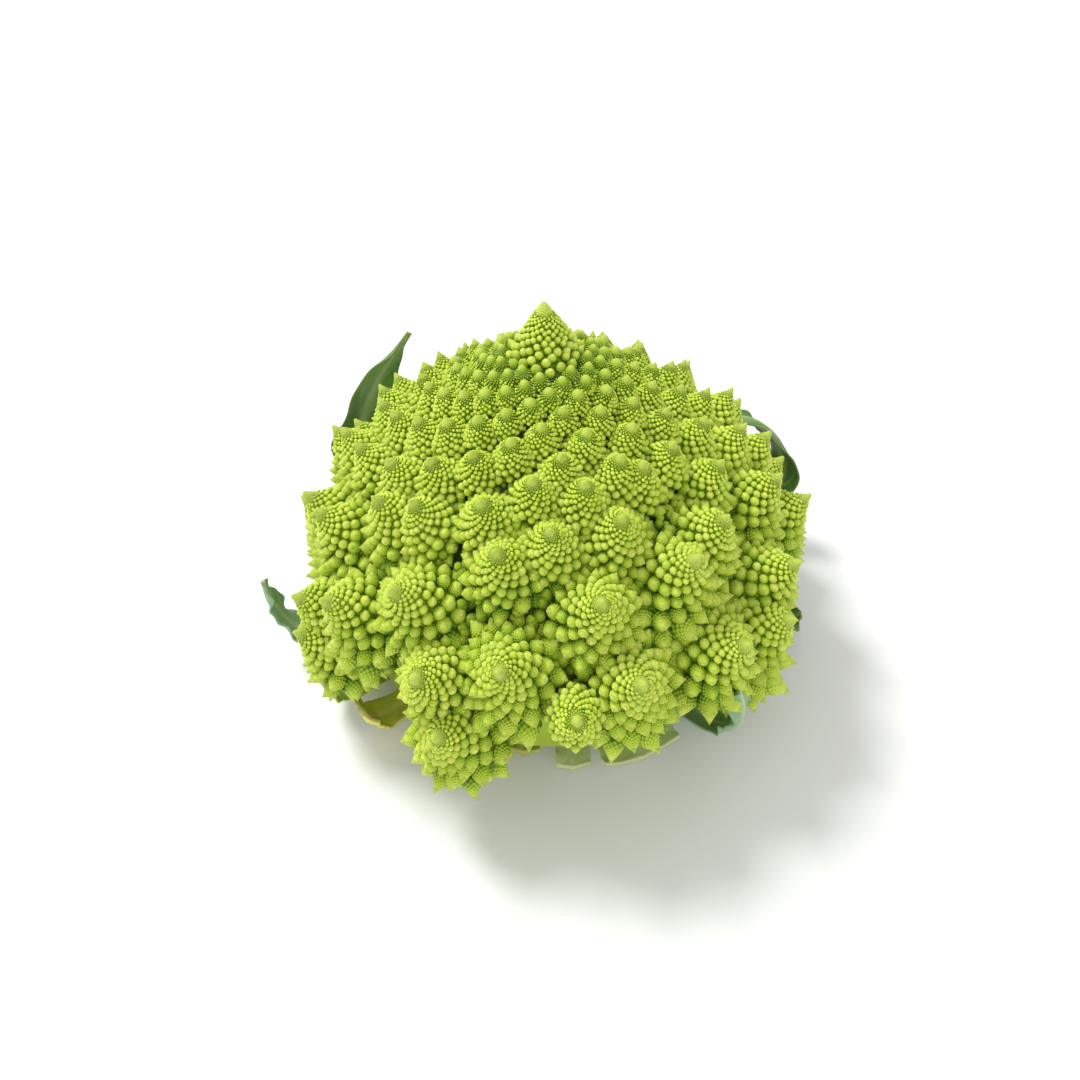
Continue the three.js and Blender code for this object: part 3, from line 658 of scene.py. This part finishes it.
def leaf_heap(azimuth, rib, half_widths, bend, rib_depth, ragged):
    """A leaf as two sheets joined along their border. Across, each station is an arc of radius w / bend; the
    outer sheet stands out by the midrib, a bell curve of the side, and by the side veins; the edge
    flutters by waves that grow with the fourth power of the side."""
    rib = np.array(rib, float)
    turn = np.radians(azimuth + rib[:, 2])
    share = np.linspace(LEAF_START, 1, LEAF_STATIONS)
    side = np.sin(np.linspace(-1, 1, LEAF_ACROSS) * LEAF_EDGE) / math.sin(LEAF_EDGE)
    centre = curve(round_axis(turn, rib[:, 0], rib[:, 1]), share)
    along = unit(np.gradient(centre, axis=0))
    tangent = np.array([math.cos(math.radians(azimuth)), math.sin(math.radians(azimuth)), 0])
    across = unit(tangent - along * (along @ tangent)[:, None])
    outward = np.cross(across, along)
    widths = np.array(half_widths, float)
    width = np.interp(share, widths[:, 0], widths[:, 1])[:, None] * np.ones(len(side))
    phase = DICE.uniform(0, 6, 6)
    t = share[:, None]
    width = width * (1 + ragged * waves(WIDTH_WAVES, t, side, phase[:2]) * np.abs(side) ** 3)
    angle = math.radians(bend) * side
    flutter = ragged * side ** 4 * waves(FLUTTER_WAVES, t, side, phase[2:4])
    flutter = flutter * np.clip((t - 0.3) * 3, 0, 1)
    sideways = width * np.sin(angle) / math.radians(bend)
    out = width * (np.cos(angle) - 1) / math.radians(bend) + flutter
    middle = centre[:, None] + across[:, None] * sideways[..., None] + outward[:, None] * out[..., None]
    normal = outward[:, None] * np.cos(angle)[:, None] + across[:, None] * np.sin(angle)[:, None]
    veins = leaf_veins(t, side[None], SIDE_VEINS) * np.ones(width.shape)
    midrib = np.exp(-(side / 0.2) ** 2) * np.ones(width.shape)
    swell = rib_depth * (1 - 0.75 * t) * midrib + VEIN_HEIGHT * veins * (1 - midrib)
    thick = LEAF_SHEET / 2 * (1 - 0.45 * np.abs(side) ** 4)
    groove = VEIN_GROOVE * veins + RIB_GROOVE * np.exp(-(side / 0.06) ** 2)
    outer = middle + normal * (thick + swell)[..., None]
    inner = middle - normal * (thick - np.minimum(groove, thick * 0.6))[..., None]
    points = np.concatenate([outer.reshape(-1, 3), inner.reshape(-1, 3)])
    points[:, 2] = np.maximum(points[:, 2], LEAF_LOWEST)
    # Veins are pale, the cut end and the edge are stained.
    tone = np.maximum(midrib, 0.75 * veins)
    cut = np.clip((t - 0.955) * 30, 0, 1) * np.ones(width.shape)
    edge = np.abs(side)[None] ** 8 * np.ones(width.shape)
    faces = leaf_faces(LEAF_STATIONS, LEAF_ACROSS)
    rows = np.stack([t * 40 * np.ones(width.shape), side * width], axis=-1).reshape(-1, 2)
    heap = Heap()
    values = [np.tile(value.ravel(), 2) for value in (tone, cut, edge)]
    heap.add(points, faces, *values, np.concatenate([rows, rows])[faces].reshape(-1, 2))
    return heap


# The stalk: its height, and its outline as (height, radius) from the cut face up to the curd
STALK_TOP, STALK_SIDES, STALK_LOBES = 29.65, 54, 9
TRUNK = np.array([(0, 22.5), (0.6, 23.4), (2, 24.5), (9, 25), (16, 23.5), (23, 22), (29.4, 19),
                  (STALK_TOP, 18.4)])
# The arms that branch from it below the florets: how many, their grid, where they start and how far they
# run on, both as (radius, height), and their own radius and how much of it they lose
ARMS, ARM_STATIONS, ARM_SIDES = 9, 14, 16
ARM_START, ARM_RUN = (14, 17.6), (26, 3.4)
ARM_GIRTH, ARM_TAPER = 4.0, 1.8


def stalk_arm(turn):
    """An arm: a tube of radius 4 - 1.8 t about the line of radius 14 + 26 t and height 17.6 + 3.4 t^1.5."""
    t = np.linspace(0, 1, ARM_STATIONS)
    centre = round_axis(turn, ARM_START[0] + ARM_RUN[0] * t, ARM_START[1] + ARM_RUN[1] * t ** 1.5)
    girth = np.append((ARM_GIRTH - ARM_TAPER * t)[:-1], 0.02)
    spin = np.linspace(0, 2 * math.pi, ARM_SIDES, endpoint=False)
    beside = round_axis(turn + math.pi / 2, 1.0, 0.0)
    ring = np.cos(spin)[:, None] * beside + np.sin(spin)[:, None] * np.array([0, 0, 1.0])
    points = centre[:, None] + girth[:, None, None] * ring
    start = np.arange(ARM_STATIONS - 1)[:, None] * ARM_SIDES
    a = (start + np.arange(ARM_SIDES)).reshape(-1)
    b = (start + (np.arange(ARM_SIDES) + 1) % ARM_SIDES).reshape(-1)
    upper = np.stack([a, b, a + ARM_SIDES], axis=1)
    lower = np.stack([b, b + ARM_SIDES, a + ARM_SIDES], axis=1)
    return points.reshape(-1, 3), np.concatenate([upper, lower])


def stalk_heap():
    """The trunk turned round the axis with shallow lobes, radius * (1 + 0.012 cos 9a), closed at both ends,
    and its arms."""
    fine = np.concatenate([np.linspace(STALK_TOP, 0.6, 36), [0.25, 0.0]])
    radius = np.concatenate([[6.0, 12.0], np.interp(fine, TRUNK[:, 0], TRUNK[:, 1]), [12.0, 6.0, 0.01]])
    height = np.concatenate([[STALK_TOP, STALK_TOP], fine, [0.0, 0.0, 0.0]])
    points, faces, corner_angle = turned_grid(radius, height, STALK_SIDES)
    around = np.arctan2(points[:, 1], points[:, 0])
    points[:, :2] *= (1 + 0.012 * np.cos(STALK_LOBES * around))[:, None]
    points = np.concatenate([[[0, 0, STALK_TOP]], points])
    cut = (points[:, 2] < 0.4).astype(float)
    heap = Heap()
    rows = np.stack([corner_angle * 24, points[faces][..., 2]], axis=-1)
    heap.add(points, faces, np.full(len(cut), 0.5), cut, np.zeros(len(cut)), rows.reshape(-1, 2))
    for i in range(ARMS):
        points, faces = stalk_arm(FIRST_AZIMUTH + i * 2 * math.pi / ARMS)
        none = np.zeros(len(points))
        heap.add(points, faces, none + 0.5, none, none, np.zeros((3 * len(faces), 2)))
    return heap


def node(tree, kind, **sockets):
    """A shader node with values or links given by socket name, or by number as _0, _1."""
    made = tree.nodes.new("ShaderNode" + kind)
    for key, value in sockets.items():
        if key.startswith("set_"):
            setattr(made, key[4:], value)
            continue
        socket = made.inputs[int(key[1:])] if key[0] == "_" else made.inputs[key.replace("_", " ")]
        if isinstance(value, bpy.types.NodeSocket):
            tree.links.new(value, socket)
        else:
            socket.default_value = value
    return made


def calculate(tree, operation, *values):
    """The result of a calculation on sockets and numbers."""
    sockets = {f"_{i}": value for i, value in enumerate(values)}
    return node(tree, "Math", set_operation=operation, **sockets).outputs[0]


def mapped(tree, value, low, high, to_low, to_high):
    """A value taken from one range to another, and kept inside it."""
    return node(tree, "MapRange", _0=value, _1=low, _2=high, _3=to_low, _4=to_high).outputs[0]


def point_values(tree):
    """The three values that a heap keeps for each point: tone, freshness and grain."""
    return [node(tree, "Attribute", set_attribute_name=name).outputs["Fac"]
            for name in ("tone", "freshness", "grain")]


def new_material(name):
    """An empty material, and its node tree."""
    material = bpy.data.materials.new(name)
    material.use_nodes = True
    tree = material.node_tree
    tree.nodes.clear()
    return material, tree


def ramp(tree, factor, stops):
    """A colour ramp from (place, linear colour) stops."""
    made = tree.nodes.new("ShaderNodeValToRGB")
    tree.links.new(factor, made.inputs["Fac"])
    while len(made.color_ramp.elements) < len(stops):
        made.color_ramp.elements.new(0.5)
    for element, (place, colour) in zip(made.color_ramp.elements, stops):
        element.position = place
        element.color = (*colour, 1)
    return made.outputs["Color"]


# The curd's greens by tone, as linear colours, where the dark low end is painted shade in the crevices and
# gaps and the pale high end the tops of the buds, and the duller green near the tips
CURD_GREENS = [(0.0, (0.015, 0.06, 0.002)), (0.3, (0.18, 0.33, 0.008)), (0.62, (0.52, 0.69, 0.045)),
               (1.0, (0.82, 0.93, 0.17))]
DULL_GREEN = (0.38, 0.50, 0.065)


def curd_material():
    """Flesh that is dark where the tone is low, as painted shade in the crevices, dull where it isn't fresh,
    and dotted with small buds, the tops of cos 2 pi u + cos 2 pi v, where there is grain: the dots both bump
    the surface and lighten the small buds' tops in colour, as painted light and shade."""
    material, tree = new_material("curd_flesh")
    tone, fresh, grain = point_values(tree)
    marks = node(tree, "UVMap", set_uv_map="rows").outputs["UV"]
    parts = node(tree, "SeparateXYZ", _0=marks)
    ridges = []
    for axis in "XY":
        angle = calculate(tree, "MULTIPLY", parts.outputs[axis], 2 * math.pi)
        ridges.append(calculate(tree, "COSINE", angle))
    dots = calculate(tree, "ADD", ridges[0], ridges[1])
    dots = mapped(tree, dots, -2.0, 2.0, 0.0, 1.0)
    place = node(tree, "TexCoord").outputs["Object"]
    cloud = node(tree, "TexNoise", Vector=place, Scale=38.0, Detail=3.0).outputs["Fac"]
    speck = node(tree, "TexNoise", Vector=place, Scale=900.0, Detail=2.0).outputs["Fac"]
    seen = mapped(tree, grain, 0.0, 0.08, 0.0, 0.3)
    mixed = calculate(tree, "MULTIPLY_ADD", dots, seen, tone)
    mixed = calculate(tree, "MULTIPLY_ADD", cloud, 0.16, mixed)
    mixed = calculate(tree, "SUBTRACT", mixed, 0.14)
    colour = ramp(tree, mixed, CURD_GREENS)
    dull_share = calculate(tree, "MULTIPLY_ADD", fresh, -0.6, 0.6)
    dulled = node(tree, "MixRGB", Fac=dull_share, Color1=colour, Color2=(*DULL_GREEN, 1)).outputs["Color"]
    small = calculate(tree, "MULTIPLY", dots, grain)
    relief = calculate(tree, "MULTIPLY_ADD", speck, 0.03, small)
    bump = node(tree, "Bump", Height=relief, Strength=1.0, Distance=0.001).outputs["Normal"]
    surface = node(tree, "BsdfPrincipled", Base_Color=dulled, Roughness=0.48, Normal=bump,
                   Subsurface_Weight=0.25, Subsurface_Radius=(0.0016, 0.0018, 0.0005),
                   Subsurface_Scale=1.0, Specular_IOR_Level=0.35)
    node(tree, "OutputMaterial", Surface=surface.outputs[0])
    return material


def tissue_material(name, deep, light, vein, stain, gloss):
    """Leaf or stalk tissue: two greens mixed by clouds, paler veins, and a stain at the cut and the edges."""
    material, tree = new_material(name)
    tone, cut, edge = point_values(tree)
    marks = node(tree, "UVMap", set_uv_map="rows").outputs["UV"]
    place = node(tree, "TexCoord").outputs["Object"]
    cloud = node(tree, "TexNoise", Vector=place, Scale=55.0, Detail=4.0, Roughness=0.6).outputs["Fac"]
    cloud = mapped(tree, cloud, 0.32, 0.68, 0.0, 1.0)
    fibre = node(tree, "TexNoise", Vector=marks, Scale=2.2, Detail=4.0, Roughness=0.65).outputs["Fac"]
    cells = node(tree, "TexVoronoi", Vector=place, Scale=900.0, set_feature="DISTANCE_TO_EDGE")
    green = node(tree, "MixRGB", Fac=cloud, Color1=(*deep, 1), Color2=(*light, 1)).outputs["Color"]
    share = calculate(tree, "MULTIPLY", tone, 0.85)
    veined = node(tree, "MixRGB", Fac=share, Color1=green, Color2=(*vein, 1)).outputs["Color"]
    worn = calculate(tree, "MULTIPLY_ADD", edge, 0.35, cut)
    blotch = node(tree, "TexNoise", Vector=place, Scale=95.0, Detail=3.0, Roughness=0.7).outputs["Fac"]
    blotch = mapped(tree, blotch, 0.4, 0.62, 0.1, 1.0)
    worn = node(tree, "Math", set_operation="MULTIPLY", set_use_clamp=True, _0=worn, _1=blotch).outputs[0]
    colour = node(tree, "MixRGB", Fac=worn, Color1=veined, Color2=(*stain, 1)).outputs["Color"]
    relief = calculate(tree, "MULTIPLY_ADD", cells.outputs["Distance"], 0.5, fibre)
    bump = node(tree, "Bump", Height=relief, Strength=0.35, Distance=0.0006).outputs["Normal"]
    rough = mapped(tree, fibre, 0.3, 0.7, gloss - 0.08, gloss + 0.1)
    surface = node(tree, "BsdfPrincipled", Base_Color=colour, Roughness=rough, Normal=bump,
                   Subsurface_Weight=0.15, Subsurface_Radius=(0.001, 0.0014, 0.0004), Subsurface_Scale=1.0)
    node(tree, "OutputMaterial", Surface=surface.outputs[0])
    return material


# The floor's grey, the sky's strength, and the lamps: name, place, angle across in degrees, power
FLOOR_GREY, SKY_STRENGTH = 0.88, 0.68
LAMPS = [("window", (-0.5, 0.35, 0.9), 20, 2.55), ("fill", (0.2, -0.8, 0.6), 50, 0.6)]


def floor_and_light():
    """A pale floor just under the cut face, an even white sky, and sun lamps that shine at the middle."""
    bpy.ops.mesh.primitive_plane_add(size=12, location=(0, 0, -0.0003))
    floor = bpy.context.object
    floor.name = "floor"
    material, tree = new_material("pale_floor")
    surface = node(tree, "BsdfPrincipled", Base_Color=(FLOOR_GREY, FLOOR_GREY, FLOOR_GREY, 1), Roughness=0.8)
    node(tree, "OutputMaterial", Surface=surface.outputs[0])
    floor.data.materials.append(material)
    bpy.context.scene.view_settings.view_transform = "Standard"
    world = bpy.data.worlds.new("studio")
    bpy.context.scene.world = world
    world.use_nodes = True
    sky = world.node_tree.nodes["Background"]
    sky.inputs["Color"].default_value = (1, 1, 1, 1)
    sky.inputs["Strength"].default_value = SKY_STRENGTH
    for name, place, angle, power in LAMPS:
        lamp = bpy.data.lights.new(name, "SUN")
        lamp.angle = math.radians(angle)
        lamp.energy = power
        made = bpy.data.objects.new(name, lamp)
        made.location = place
        made.rotation_euler = (-Vector(place)).to_track_quat("-Z", "Y").to_euler()
        bpy.context.collection.objects.link(made)


# The camera's steepness and roll in radians, its distance from the crown, and in pixels of a frame that is
# FRAME wide: its focal length and how far its frame is shifted
CAMERA_RISE, CAMERA_ROLL, CAMERA_DISTANCE = 0.444, -0.031, 209.0
FRAME, FOCAL_LENGTH, FRAME_SHIFT = 1080, 771.0, (-3.6, -238.8)
SENSOR = 36


def camera():
    """A camera whose axis meets the crown from 25.4 degrees above, with the frame shifted down from it."""
    rise, roll, distance = CAMERA_RISE, CAMERA_ROLL, CAMERA_DISTANCE
    forward = Vector((0, math.cos(rise), -math.sin(rise)))
    up = Vector((0, math.sin(rise), math.cos(rise)))
    right = Vector((1, 0, 0))
    turned_right = right * math.cos(roll) + up * math.sin(roll)
    turned_up = up * math.cos(roll) - right * math.sin(roll)
    place = (Vector((0, 0, CROWN_HEIGHT)) - forward * distance) * MM
    data = bpy.data.cameras.new("camera")
    data.sensor_width = SENSOR
    data.lens = SENSOR * FOCAL_LENGTH / FRAME
    data.shift_x = FRAME_SHIFT[0] / FRAME
    data.shift_y = FRAME_SHIFT[1] / FRAME
    data.clip_start = 0.01
    made = bpy.data.objects.new("camera", data)
    facing = Matrix((turned_right, turned_up, -forward)).transposed().to_4x4()
    made.matrix_world = Matrix.Translation(place) @ facing
    bpy.context.collection.objects.link(made)
    bpy.context.scene.camera = made


camera()
floor_and_light()
flesh = curd_material()
heaps = [Heap() for part in range(CURD_PIECES)]
grow_curd(heaps)
single(core_shape(), (0, 0, 0), heaps[-1], grain=0.0)
single(crown_shape(), (0, 0, CROWN_HEIGHT), heaps[-1])
for position, heap in enumerate(heaps):
    piece = heap.piece(f"curd_{position + 1}", flesh)
    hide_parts("curd")
    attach(piece, "root")

greens = {
    "leaf": tissue_material("leaf_green", (0.045, 0.125, 0.022), (0.11, 0.24, 0.04), (0.33, 0.42, 0.16),
                            (0.28, 0.27, 0.05), 0.42),
    "blue_leaf": tissue_material("bluish_leaf", (0.17, 0.33, 0.17), (0.28, 0.45, 0.23), (0.50, 0.62, 0.36),
                                 (0.22, 0.27, 0.07), 0.45),
    "fresh_stub": tissue_material("fresh_stub", (0.27, 0.40, 0.05), (0.45, 0.56, 0.09), (0.58, 0.64, 0.22),
                                  (0.42, 0.34, 0.05), 0.45),
    "pale_stub": tissue_material("pale_stub", (0.46, 0.60, 0.22), (0.62, 0.72, 0.34), (0.74, 0.80, 0.50),
                                 (0.56, 0.58, 0.26), 0.45),
    "brown_stub": tissue_material("brown_stub", (0.50, 0.52, 0.06), (0.80, 0.72, 0.09), (0.76, 0.74, 0.24),
                                  (0.30, 0.19, 0.04), 0.5),
    "stalk": tissue_material("stalk_flesh", (0.36, 0.44, 0.19), (0.47, 0.54, 0.27), (0.42, 0.50, 0.23),
                             (0.50, 0.48, 0.28), 0.5),
}
dressed = [("stalk", stalk_heap(), "stalk", "stalk")]
for name, azimuth, rib, half_widths, bend, rib_depth, green in LEAVES:
    ragged = STUB_RAGGED if name.startswith("stub") else LEAF_RAGGED
    heap = leaf_heap(azimuth, rib, half_widths, bend, rib_depth, ragged)
    slot = "leaf" if name.startswith("leaf") or name == "stub_front" else "leaf_stub"
    dressed.append((name, heap, green, slot))
for name, heap, green, slot in dressed:
    piece = heap.piece(name + "_grown", greens[green])
    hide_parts(name)
    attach(piece, "root")
